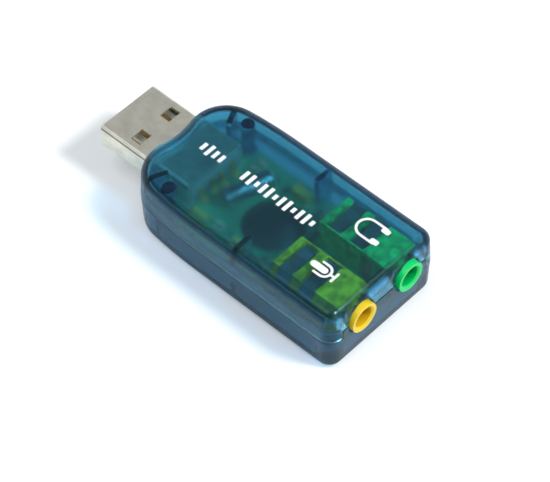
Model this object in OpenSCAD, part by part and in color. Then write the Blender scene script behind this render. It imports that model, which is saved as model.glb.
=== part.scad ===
// Plug-in sound card: a USB-A plug, a small circuit board and two 3.5 mm jack sockets
// in a two-part moulded housing of clear blue-green plastic.
// The plug points along -X, the jack sockets open along +X, and the part rests on z = 0.

/* [Housing] */
// Thickness of the side, front and rear walls
wall = 1.6; // [1.4:0.1:1.8]
// Thickness of the floor
floor_t = 1.5; // [1.2:0.1:2.5]
// Thickness of the roof
roof_t = 1.5; // [1.2:0.1:2.5]
// Rounding of the top edge
top_round = 2.1; // [1:0.1:2.1]
// Rounding of the bottom edge
bottom_round = 1.6; // [1:0.1:2.1]
// Draft: how far the walls lean in from the seam to the top and to the bottom
draft = 0.2; // [0:0.05:0.25]
// How much the rear corners are rounder in plan than the roundings over them need
rear_ease = 0.2; // [0.1:0.05:0.8]
// Rounding of the front corners in plan
front_round = 6.8; // [6:0.1:7]
// How much narrower each side is at the front corner than at the middle
shoulder_in = 0.5; // [0.2:0.05:1]
// Radius of the long sweep from the front corners into the sides
shoulder_sweep = 80; // [55:5:110]
// How far the middle of the front face is hollowed
front_dip = 0.6; // [0.3:0.05:0.7]
// Height of the seam between the two shells at the sides
seam_h = 6.5; // [5.8:0.05:6.9]
// Open groove that shows along the seam
seam_gap = 0.12; // [0.08:0.01:0.25]
// Running clearance between parts that slip into each other
slip = 0.1; // [0.05:0.01:0.2]

/* [Board] */
// Thickness of the circuit board
board_t = 1.2; // [0.8:0.1:1.6]
// Space between the floor and the board
under_board = 2.45; // [2.2:0.05:4]
// Gap between the board's long edges and the side walls
board_side_gap = 0.9; // [0.5:0.05:1.1]
// Gap between the board's ends and the front and rear walls
board_end_gap = 0.3; // [0.2:0.05:0.6]
// Length of the pins that stand out below the board
pin_tail = 0.9; // [0.5:0.1:1.2]

/* [Ribs and posts] */
// Thickness of the ribs
rib_t = 0.9; // [0.6:0.1:1.2]
// How far the middle ribs reach in from the side walls
rib_reach = 3; // [2:0.1:3.1]
// Distance from the middle of the drop back to the middle ribs
mid_rib_from_drop = 2.1; // [2:0.05:2.3]
// Where the leaning ribs leave the rounded front corners, as an angle round the corner
front_rib_at = 119; // [110:1:125]
// Lean of the front corner ribs
front_rib_lean = 25; // [15:1:35]
// Gap between the leaning ribs and the plug shell
front_rib_gap = 0.7; // [0.6:0.1:1.5]
// Outer diameter of the post sockets
socket_post_d = 3; // [2.6:0.1:3.4]
// Diameter of the locating pins
locating_pin_d = 1.5; // [1:0.1:1.8]
// Distance from the housing's front to the locating posts
post_from_front = 7.7; // [7.2:0.1:8.6]

/* [Plug] */
// Length of the plug ahead of the housing
plug_reach = 10; // [9.4:0.1:13]
// Full length of the folded plug shell
plug_shell_len = 19; // [18.4:0.1:19.2]
// Width of the plug shell
plug_w = 12; // [11.9:0.05:12.1]
// Height of the plug shell
plug_h = 4.5; // [4.4:0.05:4.6]
// Sheet thickness of the plug shell
plug_sheet = 0.3; // [0.25:0.05:0.35]
// Outer corner rounding of the plug shell
plug_round = 0.65; // [0.5:0.05:0.9]
// Width of the latch windows
window_w = 2.6; // [2.3:0.1:2.8]
// Length of the latch windows
window_len = 2; // [1.8:0.1:2.2]
// Distance from the plug's tip to the latch windows
window_from_tip = 5.16; // [5:0.02:5.3]
// Distance between the middles of the two windows
window_pitch = 6.5; // [6.2:0.1:6.6]
// Thickness of the contact tongue
tongue_t = 1.9; // [1.8:0.05:1.95]
// Setback of the tongue from the plug's tip
tongue_setback = 0.4; // [0.2:0.1:0.8]
// Length of the solid block behind the tongue
rear_block_len = 6; // [5:0.1:7]
// Width of a plug contact
contact_w = 1; // [0.9:0.05:1.2]
// Thickness of a plug contact
contact_t = 0.25; // [0.2:0.05:0.3]
// Length of a contact's foot on the board
contact_foot = 1.2; // [0.8:0.1:1.3]
// Distance from the end of the plug's block to the bend of the contacts
contact_back = 0.4; // [0.3:0.05:0.6]

/* [Jack sockets] */
// Distance between the two jack axes
jack_pitch = 10.4; // [10.2:0.1:12]
// Height of the jack axis above the board
jack_axis_h = 3.1; // [2.9:0.05:3.3]
// Length of the jack body
jack_len = 13.2; // [13:0.1:13.4]
// Width of the jack body
jack_w = 6.5; // [6.3:0.1:7.2]
// Height of the jack body
jack_h = 5.7; // [5.5:0.05:6.4]
// Outer diameter of the collar
collar_d = 5.2; // [4.8:0.1:5.4]
// How far the collar stands out of the rear wall
collar_out = 0.6; // [0.4:0.1:1]
// Diameter of the socket bore, for a 3.5 mm plug
socket_d = 3.6; // [3.55:0.01:3.65]
// Depth of the socket bore from its mouth
socket_depth = 14.2; // [14:0.1:14.4]
// Chamfer at the socket's mouth
mouth_chamfer = 0.3; // [0.1:0.05:0.4]
// Air between a collar and the hole in the rear wall
collar_gap = 0.3; // [0.15:0.05:0.4]
// Air between the side wall and a jack body
side_room = 1.95; // [1.8:0.05:3.5]
// Air between the jack bodies and the roof
headroom = 0.25; // [0.1:0.05:1]
// Air between the jack bodies and the rear wall
jack_back_gap = 0.2; // [0.1:0.05:0.3]
// Thickness of the contact springs
spring_t = 0.2; // [0.15:0.05:0.25]
// Width of the springs that cross the jack bodies
spring_w = 2.3; // [1.8:0.1:2.5]
// Width of the springs at the jack bodies' inner sides
side_spring_w = 1.9; // [1.5:0.1:2]
// Distance from the socket's mouth to the middle of the tip spring
tip_reach = 13.1; // [12.6:0.1:13.3]
// Distance from the socket's mouth to the middle of the ring spring
ring_reach = 8.6; // [8.6:0.1:9.4]
// Distance from the socket's mouth to the middle of the sleeve spring
sleeve_reach = 6.2; // [5.6:0.1:6.2]
// Width of a spring's pin through the board
spring_pin_w = 0.7; // [0.5:0.1:0.8]

/* [Board parts] */
// Diameter of the epoxy drop over the sound chip
drop_d = 10.3; // [9.4:0.1:10.5]
// Height of the epoxy drop
drop_h = 1.5; // [1:0.1:2]
// Room between the feet of the plug contacts and the crystal's can
can_room = 0.6; // [0.3:0.05:2]
// How far the far end of the turned can reaches beside the drop
can_beside = 0.75; // [0:0.05:1]
// Room between the drop and the jack bodies
jack_room = 2.55; // [2:0.05:5]
// How far the crystal's can sits off the middle line
can_off = 1.7; // [1.2:0.1:2]
// Length of the crystal's can, which lies on the board
can_len = 8.3; // [7.8:0.1:8.6]
// Diameter of the crystal's can
can_d = 3.1; // [2.9:0.1:3.3]
// Angle in degrees that the can is turned from straight across the board
can_turn = 18.72; // [10:0.02:22]
// Distance from the can to where its leads bend down
lead_run = 1.2; // [0.8:0.1:1.5]
// Radius at the middle of the leads' bend
lead_bend = 0.5; // [0.4:0.05:0.6]
// Spacing of the crystal's leads
lead_pitch = 1.1; // [1:0.05:1.3]
// Diameter of the crystal's leads
lead_d = 0.35; // [0.3:0.05:0.4]

/* [Hidden] */
$fn = 48;

over = 1;                 // how far a cutter runs past the face that it cuts
bury = 0.4;               // how far a rib or post roots into its wall
rib_root = wall / 2;      // depth of a rib's root in a side wall
corner_block = 2;         // side of the blocks under the board's rear corners
corner_cut = plug_round;  // bevel that clears the round corners of the plug shell
fold_seam = 0.08;         // open butt seam of the folded plug shell
tab_len = 2;              // length of the plug shell's solder tabs

// heights, from the table up
board_z = floor_t + under_board;
board_top = board_z + board_t;
plug_z = board_top + plug_h / 2;
jack_z = board_top + jack_axis_h;
roof_z = board_top + jack_h + headroom;
housing_h = roof_z + roof_t;
tail_z = board_z - pin_tail;
lip_top = jack_z;         // the lap lip ends level with the jack axes

// The housing is as long as the row of parts that it holds: the inner end of the plug, the feet
// of its contacts, the crystal, the drop and the jacks
can_span = can_len * sin(can_turn) + can_d * cos(can_turn);
housing_len = plug_shell_len - plug_reach + slip + contact_back + contact_foot + can_room + can_span
    - can_beside + drop_d + jack_room + jack_len + jack_back_gap + wall;

// places along X, with the whole part centred on x = 0
whole_len = plug_reach + housing_len + collar_out;
tip_x = -whole_len / 2;
front_x = tip_x + plug_reach;
rear_x = front_x + housing_len;
mouth_x = rear_x + collar_out;
rear_inner_x = rear_x - wall;
jack_face_x = rear_inner_x - jack_back_gap;
collar_len = mouth_x - jack_face_x;
board_x0 = front_x + front_dip + wall + board_end_gap;
board_x1 = rear_inner_x - board_end_gap;
drop_x = jack_face_x - jack_len - jack_room - drop_d / 2;
can_x = drop_x - drop_d / 2 + can_beside - can_span / 2;

// the plug's insulator
tongue_z = board_top + plug_sheet + tongue_t;
tongue_w = plug_w - 2 * plug_sheet - 3 * slip;
block_x1 = tip_x + plug_shell_len + slip;
block_x0 = block_x1 - rear_block_len;

// widths
half_w = jack_pitch / 2 + jack_w / 2 + side_room + wall;
inner_half_w = half_w - wall;
board_half_w = inner_half_w - board_side_gap;
upper_post_d = socket_post_d - 8 * slip;
inner_round = 0.5;        // rounding where the walls meet the floor and the roof inside
rear_round = max(top_round + draft, wall + inner_round) + rear_ease;
panel_half_w = half_w - rear_round - 3 * slip;

// plan outline: front corner, front hollow and side sweep as tangent arcs
corner_y = half_w - front_round - shoulder_in;
hollow_r = (corner_y * corner_y - 2 * front_round * front_dip + front_dip * front_dip) / (2 * front_dip);
hollow_a = asin(corner_y / (hollow_r + front_round));
sweep_a = acos((shoulder_sweep + corner_y - half_w) / (shoulder_sweep - front_round));
sweep_x = front_round + (shoulder_sweep - front_round) * sin(sweep_a);

// the posts stand against the swept part of the side wall
function swept_y(from_front) = half_w - shoulder_sweep + sqrt(pow(shoulder_sweep, 2) - pow(sweep_x - from_front, 2));
post_y = swept_y(post_from_front) - wall - socket_post_d / 2 + bury / 2;
post_x = front_x + post_from_front;

// a leaning rib leaves the inside of its corner and ends short of the plug shell
rib_start = [front_round + (front_round - wall) * cos(front_rib_at), corner_y + (front_round - wall) * sin(front_rib_at)];
front_rib_len = (rib_start.y - plug_w / 2 - front_rib_gap) / cos(front_rib_lean);

// An outline point is [x, y, nx, ny]: its place and the way the wall faces there.
function arc(cx, cy, r, a0, a1, n, side) =
    [for (i = [0:n]) let (a = a0 + (a1 - a0) * i / n)
        [cx + r * cos(a), cy + r * sin(a), side * cos(a), side * sin(a)]];
half_outline = concat(
    arc(front_dip - hollow_r, 0, hollow_r, 0, hollow_a, 7, -1),
    arc(front_round, corner_y, front_round, 180 + hollow_a, 90 + sweep_a, 12, 1),
    arc(sweep_x, half_w - shoulder_sweep, shoulder_sweep, 90 + sweep_a, 90, 4, 1),
    arc(housing_len - rear_round, half_w - rear_round, rear_round, 90, 0, 8, 1));
// points that meet at the joins between arcs are kept once
function distinct(p) = [for (i = [0:len(p) - 1])
    if (i == 0 || norm([p[i].x - p[i - 1].x, p[i].y - p[i - 1].y]) > 0.01) p[i]];
near_side = distinct(half_outline);
n_half = len(near_side);
outline = concat(
    near_side,
    [for (i = [n_half - 1:-1:1]) [near_side[i][0], -near_side[i][1], near_side[i][2], -near_side[i][3]]]);
n_ring = len(outline);

// A profile point is [inset from the outline, height]. The profile is swept round the outline,
// from the face that looks up, over the rim, to the face that looks down.
function ring(p) = [for (q = outline) [front_x + q[0] - q[2] * p[0], q[1] - q[3] * p[0], p[1]]];
function fillet(cx, cz, r, a0, a1, n) = [for (i = [0:n]) let (a = a0 + (a1 - a0) * i / n)
    [cx + r * cos(a), cz + r * sin(a)]];

module swept(profile) {
    rings = len(profile);
    polyhedron(
        points = [for (p = profile) each ring(p)],
        faces = concat(
            [[for (j = [0:n_ring - 1]) j]],
            [for (i = [0:rings - 2]) for (j = [0:n_ring - 1]) let (k = (j + 1) % n_ring)
                each [[i * n_ring + j, (i + 1) * n_ring + j, i * n_ring + k],
                      [i * n_ring + k, (i + 1) * n_ring + j, (i + 1) * n_ring + k]]],
            [[for (j = [n_ring - 1:-1:0]) (rings - 1) * n_ring + j]]),
        convexity = 6);
}

lip_in = wall / 2;        // the lap lip is the inner half of the wall

lower_profile = concat(
    fillet(wall + inner_round, floor_t + inner_round, inner_round, -90, -180, 3),
    [[wall, lip_top], [lip_in + slip / 2, lip_top], [lip_in + slip / 2, seam_h], [0, seam_h]],
    fillet(draft + bottom_round, bottom_round, bottom_round, 180, 270, 6));
upper_profile = concat(
    fillet(draft + top_round, housing_h - top_round, top_round, 90, 180, 6),
    [[0, seam_h + seam_gap], [lip_in - slip / 2, seam_h + seam_gap], [lip_in - slip / 2, lip_top], [wall, lip_top]],
    fillet(wall + inner_round, roof_z - inner_round, inner_round, 180, 90, 3));

// Rounded rectangle in its own plane, of straight sides and round corners
module rounded_rect(w, h, r) {
    square([w - 2 * r, h], center = true);
    square([w, h - 2 * r], center = true);
    for (sx = [-1, 1]) for (sy = [-1, 1])
        translate([sx * (w / 2 - r), sy * (h / 2 - r)]) circle(r);
}

// A shape in the Y-Z plane, pushed along X from x0 to x1
module along_x(x0, x1) {
    translate([x0, 0, 0]) rotate([90, 0, 90]) linear_extrude(x1 - x0) children();
}

// A shape in the X-Z plane, pushed along Y and centred on y
module across_y(y, w) {
    translate([0, y + w / 2, 0]) rotate([90, 0, 0]) linear_extrude(w) children();
}

// Outline of a bent strip: a path and the same path moved over by the strip's thickness
function side_of(a, b) = let (d = b - a) [-d[1], d[0]] / norm(d);
function moved(path, i, t) = let (
    last = len(path) - 1,
    n0 = side_of(path[max(i - 1, 0)], path[max(i, 1)]),
    n1 = side_of(path[min(i, last - 1)], path[min(i + 1, last)]))
    path[i] + t * (n0 + n1) / (1 + n0 * n1);
function ribbon(path, t) = concat(path, [for (i = [len(path) - 1:-1:0]) moved(path, i, t)]);

module plug_opening() {
    translate([0, 0, plug_z])
        along_x(front_x - over, board_x0 + over)
            rounded_rect(plug_w + 2 * slip, plug_h + 2 * slip, plug_round + slip);
}

module collar_holes() {
    for (s = [-1, 1])
        translate([rear_inner_x - over, s * jack_pitch / 2, jack_z]) rotate([0, 90, 0])
            cylinder(d = collar_d + 2 * collar_gap, h = wall + 2 * over);
}

// The rear middle of the seam is stepped up to the jack axes
module rear_panel(x0, x1, grow, z0, z1) {
    translate([x0, -panel_half_w - grow, z0]) cube([x1 - x0, 2 * (panel_half_w + grow), z1 - z0]);
}

// Ribs at both side walls, from height z0 to z1: leaning ones at the front corners and straight ones midway
module side_ribs(z0, z1) {
    for (s = [-1, 1]) scale([1, s, 1]) {
        translate([front_x + rib_start.x, rib_start.y, z0]) rotate([0, 0, front_rib_lean - 90])
            translate([-rib_root, -rib_t / 2, 0]) cube([rib_root + front_rib_len, rib_t, z1 - z0]);
        translate([drop_x + mid_rib_from_drop - rib_t / 2, inner_half_w - rib_reach, z0])
            cube([rib_t, rib_reach + rib_root, z1 - z0]);
    }
}

// The room between the walls, drawn in by a gap
module between_walls(gap, z0, z1) {
    translate([0, 0, z0]) linear_extrude(z1 - z0)
        polygon([for (p = ring([wall + gap, 0])) [p.x, p.y]]);
}

module lower_shell() {
    color([0.12, 0.36, 0.46, 0.6])
    difference() {
        union() {
            swept(lower_profile);
            rear_panel(rear_inner_x, rear_x, 0, seam_h, jack_z);
            side_ribs(floor_t - bury, board_z);
            for (s = [-1, 1])
                translate([post_x, s * post_y, floor_t - bury])
                    cylinder(d = socket_post_d, h = board_top - floor_t + bury);
            // blocks that carry the board's rear corners
            for (s = [-1, 1]) scale([1, s, 1])
                translate([board_x1 - corner_block, inner_half_w - corner_block, floor_t - bury])
                    cube([corner_block + board_end_gap + bury, corner_block + bury, under_board + bury]);
        }
        plug_opening();
        collar_holes();
        for (s = [-1, 1])
            translate([post_x, s * post_y, floor_t])
                cylinder(d = locating_pin_d + 2 * slip, h = housing_h);
    }
}

module upper_shell() {
    color([0.14, 0.42, 0.52, 0.6])
    difference() {
        union() {
            swept(upper_profile);
            side_ribs(lip_top, roof_z + bury);
            intersection() {
                side_ribs(board_top, lip_top + bury);
                between_walls(slip, board_top, lip_top + bury);
            }
            for (s = [-1, 1]) translate([post_x, s * post_y, 0]) {
                translate([0, 0, board_top]) cylinder(d = upper_post_d, h = roof_z + bury - board_top);
                translate([0, 0, floor_t + 2 * slip]) cylinder(d = locating_pin_d, h = roof_z - floor_t);
            }
        }
        plug_opening();
        collar_holes();
        rear_panel(rear_inner_x - over, rear_x + over, slip, seam_h - over, jack_z + seam_gap);
    }
}

// USB plug

module plug_shell() {
    color([0.72, 0.71, 0.66])
    union() {
        difference() {
            translate([0, 0, plug_z]) along_x(tip_x, tip_x + plug_shell_len) difference() {
                rounded_rect(plug_w, plug_h, plug_round);
                rounded_rect(plug_w - 2 * plug_sheet, plug_h - 2 * plug_sheet, plug_round - plug_sheet);
            }
            // latch windows through the top and the bottom
            for (s = [-1, 1])
                translate([tip_x + window_from_tip, s * window_pitch / 2 - window_w / 2, board_top - over])
                    cube([window_len, window_w, plug_h + 2 * over]);
            // butt seam of the folded sheet along the underside
            translate([tip_x - over, -fold_seam / 2, board_top - over])
                cube([plug_shell_len + 2 * over, fold_seam, plug_sheet + 1.5 * over]);
        }
        // solder tabs that run down from the sides through the board
        for (s = [-1, 1])
            translate([tab_x, s * tab_y - plug_sheet / 2, tail_z])
                cube([tab_len, plug_sheet, plug_z - tail_z]);
    }
}

// A rectangle with its corners cut off, between two heights, in the Y-Z plane
module chamfered(w, z0, z1, c) {
    polygon([[-w / 2 + c, z0], [w / 2 - c, z0], [w / 2, z0 + c], [w / 2, z1 - c],
             [w / 2 - c, z1], [-w / 2 + c, z1], [-w / 2, z1 - c], [-w / 2, z0 + c]]);
}

module plug_insulator() {
    seat_z = board_top + plug_sheet;
    color([0.93, 0.93, 0.90])
    difference() {
        union() {
            along_x(tip_x + tongue_setback, block_x1) chamfered(tongue_w, seat_z, tongue_z, corner_cut);
            along_x(block_x0, block_x1)
                chamfered(tongue_w, seat_z, board_top + plug_h - plug_sheet - slip, corner_cut);
        }
        // grooves for the contacts
        for (i = [0:3])
            translate([contact_start(i) - slip, contact_y(i) - (contact_w + slip) / 2, tongue_z - contact_t])
                cube([block_x1 - contact_start(i) + over, contact_w + slip, contact_t + slip]);
    }
}

// The outer two contacts start nearer the tip than the inner two
function contact_y(i) = [-3.5, -1, 1, 3.5][i];
function contact_start(i) = tip_x + ((i == 0 || i == 3) ? 1.5 : 2.5);

module plug_contact(i) {
    top = tongue_z;
    low = tongue_z - contact_t;
    back = block_x1 + contact_back;
    color([0.86, 0.70, 0.36])
        across_y(contact_y(i), contact_w)
            polygon([[contact_start(i), low], [back, low], [back, board_top], [back + contact_foot, board_top],
                     [back + contact_foot, board_top + contact_t], [back + contact_t, board_top + contact_t],
                     [back + contact_t, top], [contact_start(i), top]]);
}
module plug_contact_1() { plug_contact(0); }
module plug_contact_2() { plug_contact(1); }
module plug_contact_3() { plug_contact(2); }
module plug_contact_4() { plug_contact(3); }

// Jack sockets. Each jack is drawn round its own axis, with its front face at x = 0
// and the side that looks to the near wall of the housing at +Y.

jack_top = jack_h - jack_axis_h;
bore_r = socket_d / 2;
tip_at = collar_len - tip_reach;  // where each spring touches the plug
ring_at = collar_len - ring_reach;
sleeve_at = collar_len - sleeve_reach;
slot_w = spring_w + 0.7;         // slots that the crossing springs lie in
side_slot_w = side_spring_w + 0.5;
seat_top = jack_top - 0.45;      // height of the ledge that a crossing spring lies on
well_half_w = 2.3;               // the deep part of a slot, which opens the bore
well_z = 0.9;
touch_r = bore_r + 0.05;         // the springs stop just outside the bore
groove_d = spring_t + slip;      // side grooves for the springs' legs
peg_d = 0.9;
peg_in = 1.3;                    // how far in from the jack body's ends the pegs stand
peg_at = [-peg_in, peg_in - jack_len];

module at_jack(s) {
    translate([jack_face_x, s * jack_pitch / 2, jack_z]) mirror([0, s < 0 ? 1 : 0, 0]) children();
}

// Slot from the top, with ledges at both sides, a well over the bore and a groove for the leg
module crossing_slot(x) {
    translate([x - slot_w / 2, 0, 0]) {
        translate([0, spring_t + slip - jack_w / 2, seat_top]) cube([slot_w, jack_w, jack_top]);
        translate([0, -well_half_w, well_z]) cube([slot_w, 2 * well_half_w, jack_top]);
        translate([0, jack_w / 2 - groove_d, -jack_axis_h - over]) cube([slot_w, groove_d + over, jack_h + 2 * over]);
    }
}

// Slot in the inner side, with a window to the bore and a groove for the leg
module side_slot(x) {
    translate([x - side_slot_w / 2, -jack_w / 2 - over, 0]) {
        translate([0, 0, -bore_r]) cube([side_slot_w, jack_w / 2 + over - well_z - slip, 2 * bore_r]);
        translate([0, 0, -jack_axis_h - over]) cube([side_slot_w, groove_d + over, jack_axis_h + over]);
    }
}

module jack_body() {
    difference() {
        union() {
            translate([-jack_len, -jack_w / 2, -jack_axis_h]) cube([jack_len, jack_w, jack_h]);
            rotate([0, 90, 0]) cylinder(d = collar_d, h = collar_len);
            for (x = peg_at)
                translate([x, 0, -jack_axis_h - 0.8 * board_t]) cylinder(d = peg_d, h = board_t);
        }
        translate([collar_len - socket_depth, 0, 0]) rotate([0, 90, 0]) cylinder(d = socket_d, h = socket_depth + over);
        translate([collar_len - mouth_chamfer, 0, 0]) rotate([0, 90, 0])
            cylinder(r1 = bore_r, r2 = bore_r + mouth_chamfer + slip, h = mouth_chamfer + slip);
        crossing_slot(tip_at);
        crossing_slot(ring_at);
        side_slot(sleeve_at);
    }
}

// Leg that stands in the outer groove, bends over the top and dips to the plug
module crossing_spring(x) {
    side = jack_w / 2 - spring_t;
    path = [[side, -jack_axis_h], [side, seat_top], [well_half_w - 0.3, seat_top], [0.5, touch_r], [-0.5, touch_r],
            [0.3 - well_half_w, seat_top], [-well_half_w - 0.5, seat_top]];
    translate([x - spring_w / 2, 0, 0]) along_x(0, spring_w) polygon(ribbon(path, -spring_t));
    spring_pin(x, side);
}

// Leg that stands in the inner groove and bulges in to the plug
module side_spring(x) {
    side = spring_t - jack_w / 2;
    path = [[side, -jack_axis_h], [side, -bore_r + spring_t], [-touch_r, -0.4], [-touch_r, 0.4],
            [side + 0.5, bore_r - spring_t]];
    translate([x - side_spring_w / 2, 0, 0]) along_x(0, side_spring_w) polygon(ribbon(path, spring_t));
    spring_pin(x, -jack_w / 2);
}

// Narrow pin below a spring's leg, through the board
module spring_pin(x, y) {
    bottom = tail_z - jack_z;
    translate([x - spring_pin_w / 2, y, bottom]) cube([spring_pin_w, spring_t, -jack_axis_h - bottom + spring_t]);
}

module headphone_jack_body() { color([0.10, 0.72, 0.32]) at_jack(1) jack_body(); }
module microphone_jack_body() { color([0.93, 0.76, 0.16]) at_jack(-1) jack_body(); }
module headphone_tip_spring() { color([0.78, 0.78, 0.76]) at_jack(1) crossing_spring(tip_at); }
module headphone_ring_spring() { color([0.78, 0.78, 0.76]) at_jack(1) crossing_spring(ring_at); }
module headphone_sleeve_spring() { color([0.78, 0.78, 0.76]) at_jack(1) side_spring(sleeve_at); }
module microphone_tip_spring() { color([0.78, 0.78, 0.76]) at_jack(-1) crossing_spring(tip_at); }
module microphone_ring_spring() { color([0.78, 0.78, 0.76]) at_jack(-1) crossing_spring(ring_at); }
module microphone_sleeve_spring() { color([0.78, 0.78, 0.76]) at_jack(-1) side_spring(sleeve_at); }

// Board and what is soldered to it

tab_x = tip_x + plug_shell_len - tab_len - 1.2;
tab_y = (plug_w - plug_sheet) / 2;

// Places of the springs' pins: [x, y]
spring_pins = [for (s = [-1, 1]) for (p = [[tip_at, 1], [ring_at, 1], [sleeve_at, -1]])
    [jack_face_x + p[0], s * (jack_pitch / 2 + p[1] * (jack_w - spring_t) / 2)]];
can_way = [sin(can_turn), cos(can_turn)];
can_across = [cos(can_turn), -sin(can_turn)];
can_leads = [for (t = [-1, 1]) [can_x, can_off] + (can_len / 2 + lead_run) * can_way + t * lead_pitch / 2 * can_across];
lead_sides = 16;
peg_places = [for (s = [-1, 1]) for (x = peg_at) [jack_face_x + x, s * jack_pitch / 2]];

// A rectangle whose front corners follow the inside of the housing
module board_outline() {
    intersection() {
        translate([board_x0, -board_half_w]) square([board_x1 - board_x0, 2 * board_half_w]);
        polygon([for (p = ring([wall + board_end_gap, 0])) [p.x, p.y]]);
    }
}

module circuit_board() {
    color([0.10, 0.42, 0.24])
    translate([0, 0, board_z]) linear_extrude(board_t) difference() {
        board_outline();
        // hollows round the locating posts
        for (s = [-1, 1]) translate([post_x, s * post_y]) circle(d = socket_post_d + 2 * slip);
        for (p = spring_pins) translate(p) circle(d = spring_pin_w + 3 * slip);
        for (p = peg_places) translate(p) circle(d = peg_d + slip);
        for (p = can_leads) translate(p) circle(d = lead_d + 2 * slip, $fn = lead_sides);
        for (s = [-1, 1])
            translate([tab_x - slip, s * tab_y - plug_sheet / 2 - slip]) square([tab_len + 2 * slip, plug_sheet + 2 * slip]);
    }
}

module sound_chip_drop() {
    dome_r = (drop_d * drop_d / 4 + drop_h * drop_h) / (2 * drop_h);
    color([0.05, 0.06, 0.07])
    translate([drop_x, 0, board_top]) intersection() {
        translate([0, 0, drop_h - dome_r]) sphere(r = dome_r, $fn = 96);
        cylinder(d = drop_d + over, h = drop_h + over);
    }
}

// A drawn can that lies on the board, round at its closed end, with a sunk base and two bent leads
module crystal_can() {
    can_r = can_d / 2;
    can_lip = 0.2;
    base_in = 0.3;
    profile = concat([[0, 0]], fillet(can_r - 0.5, 0.5, 0.5, -90, 0, 4),
        [[can_r, can_len], [can_r - can_lip, can_len], [can_r - can_lip, can_len - base_in], [0, can_len - base_in]]);
    color([0.75, 0.76, 0.77])
    union() {
        lying_can(-can_len / 2) rotate_extrude() polygon(profile);
        for (t = [-1, 1]) {
            lying_can(can_len / 2 - base_in, t * lead_pitch / 2)
                cylinder(d = lead_d, h = lead_run + base_in - lead_bend, $fn = lead_sides);
            lying_can(can_len / 2 + lead_run - lead_bend, t * lead_pitch / 2)
                translate([0, lead_bend, 0]) rotate([0, -90, 0]) rotate([0, 0, -90]) rotate_extrude(angle = 90)
                    translate([lead_bend, 0]) circle(d = lead_d, $fn = lead_sides);
            lying_can(can_len / 2 + lead_run, t * lead_pitch / 2) translate([0, lead_bend, 0]) rotate([-90, 0, 0])
                cylinder(d = lead_d, h = board_top + can_r - lead_bend - tail_z, $fn = lead_sides);
        }
    }
}

// Lays what stands on z = 0 along the axis of the crystal's can
module lying_can(along, across = 0) {
    translate([can_x, can_off, board_top + can_d / 2]) rotate([0, 0, -can_turn]) rotate([-90, 0, 0])
        translate([across, 0, along]) children();
}

// A chip with its metal end caps. It stands turned across the board when turned is 1.
module chip(size, place, cap_len, cap_over) {
    translate([place[0], place[1], board_top]) rotate([0, 0, 90 * place[2]]) {
        translate([-size.x / 2, -size.y / 2 + cap_over, cap_over])
            cube([size.x, size.y - 2 * cap_over, size.z - 2 * cap_over]);
        for (t = [0, 1])
            translate([-size.x / 2 + t * (size.x - cap_len), -size.y / 2, 0]) cube([cap_len, size.y, size.z]);
    }
}

capacitor_size = [1.6, 0.8, 0.8];
resistor_size = [1.6, 0.8, 0.45];
coupling_size = [3.2, 1.6, 1.6];
// Places on the board, each [x, y, turned]. The chips stand in rows: behind the drop, beside it
// and beside the crystal's can.
behind_x = drop_x + drop_d / 2 + 0.9;
beside_y = drop_d / 2 + 1.15;
can_end_y = can_off + can_len / 2 * cos(can_turn);
capacitor_places = [[can_x + 1.2, -beside_y - 1.1, 0], [can_x + 1.2, -beside_y + 0.6, 0],
                    [drop_x + 4.8, -beside_y - 0.1, 1], [behind_x, -4.6, 1],
                    [can_x - 2.3, can_end_y + 0.4, 0], [can_x - 2.3, can_end_y + 2, 0],
                    [drop_x + 4.8, beside_y + 0.1, 1], [behind_x, 4.6, 1]];
resistor_places = [[drop_x - 3.4, -beside_y, 1], [drop_x - 3.4, beside_y, 1], [drop_x + 3.4, -beside_y, 1],
                   [drop_x + 3.4, beside_y, 1], [behind_x, -0.9, 1], [behind_x, 0.9, 1],
                   [behind_x, -2.8, 1], [behind_x, 2.8, 1]];
coupling_places = [[can_x - 1.9, -beside_y - 0.6, 0], [drop_x - 0.5, -beside_y - 0.8, 0],
                   [drop_x - 0.5, beside_y + 0.8, 0]];

module chip_capacitors() {
    color([0.66, 0.55, 0.42]) for (p = capacitor_places) chip(capacitor_size, p, 0.3, 0.03);
}
module chip_resistors() {
    color([0.16, 0.16, 0.17]) for (p = resistor_places) chip(resistor_size, p, 0.3, 0.03);
}
module coupling_capacitors() {
    color([0.85, 0.60, 0.20]) for (p = coupling_places) chip(coupling_size, p, 0.5, 0.05);
}

// Solder under the board: a cone round each pin and a bar round each plug tab
module solder_joints() {
    cone_h = 0.6;
    spread = 0.25;
    color([0.80, 0.80, 0.82]) {
        for (p = spring_pins) translate([p[0], p[1], board_z - cone_h]) difference() {
            cylinder(d1 = spring_pin_w + 0.2, d2 = spring_pin_w + 4 * spread, h = cone_h);
            translate([-spring_pin_w / 2, -spring_t / 2, -over]) cube([spring_pin_w, spring_t, cone_h + 2 * over]);
        }
        for (p = can_leads) translate([p[0], p[1], board_z - cone_h]) difference() {
            cylinder(d1 = lead_d + 0.2, d2 = lead_pitch - 0.1, h = cone_h);
            translate([0, 0, -over]) cylinder(d = lead_d, h = cone_h + 2 * over, $fn = lead_sides);
        }
        for (s = [-1, 1]) translate([tab_x - spread, s * tab_y, board_z - cone_h]) difference() {
            translate([0, -plug_sheet / 2 - spread, 0]) cube([tab_len + 2 * spread, plug_sheet + 2 * spread, cone_h]);
            translate([spread, -plug_sheet / 2, -over]) cube([tab_len, plug_sheet, cone_h + 2 * over]);
        }
    }
}

lower_shell();
upper_shell();
plug_shell();
plug_insulator();
plug_contact_1();
plug_contact_2();
plug_contact_3();
plug_contact_4();
circuit_board();
headphone_jack_body();
microphone_jack_body();
headphone_tip_spring();
headphone_ring_spring();
headphone_sleeve_spring();
microphone_tip_spring();
microphone_ring_spring();
microphone_sleeve_spring();
sound_chip_drop();
crystal_can();
chip_capacitors();
chip_resistors();
coupling_capacitors();
solder_joints();
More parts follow.
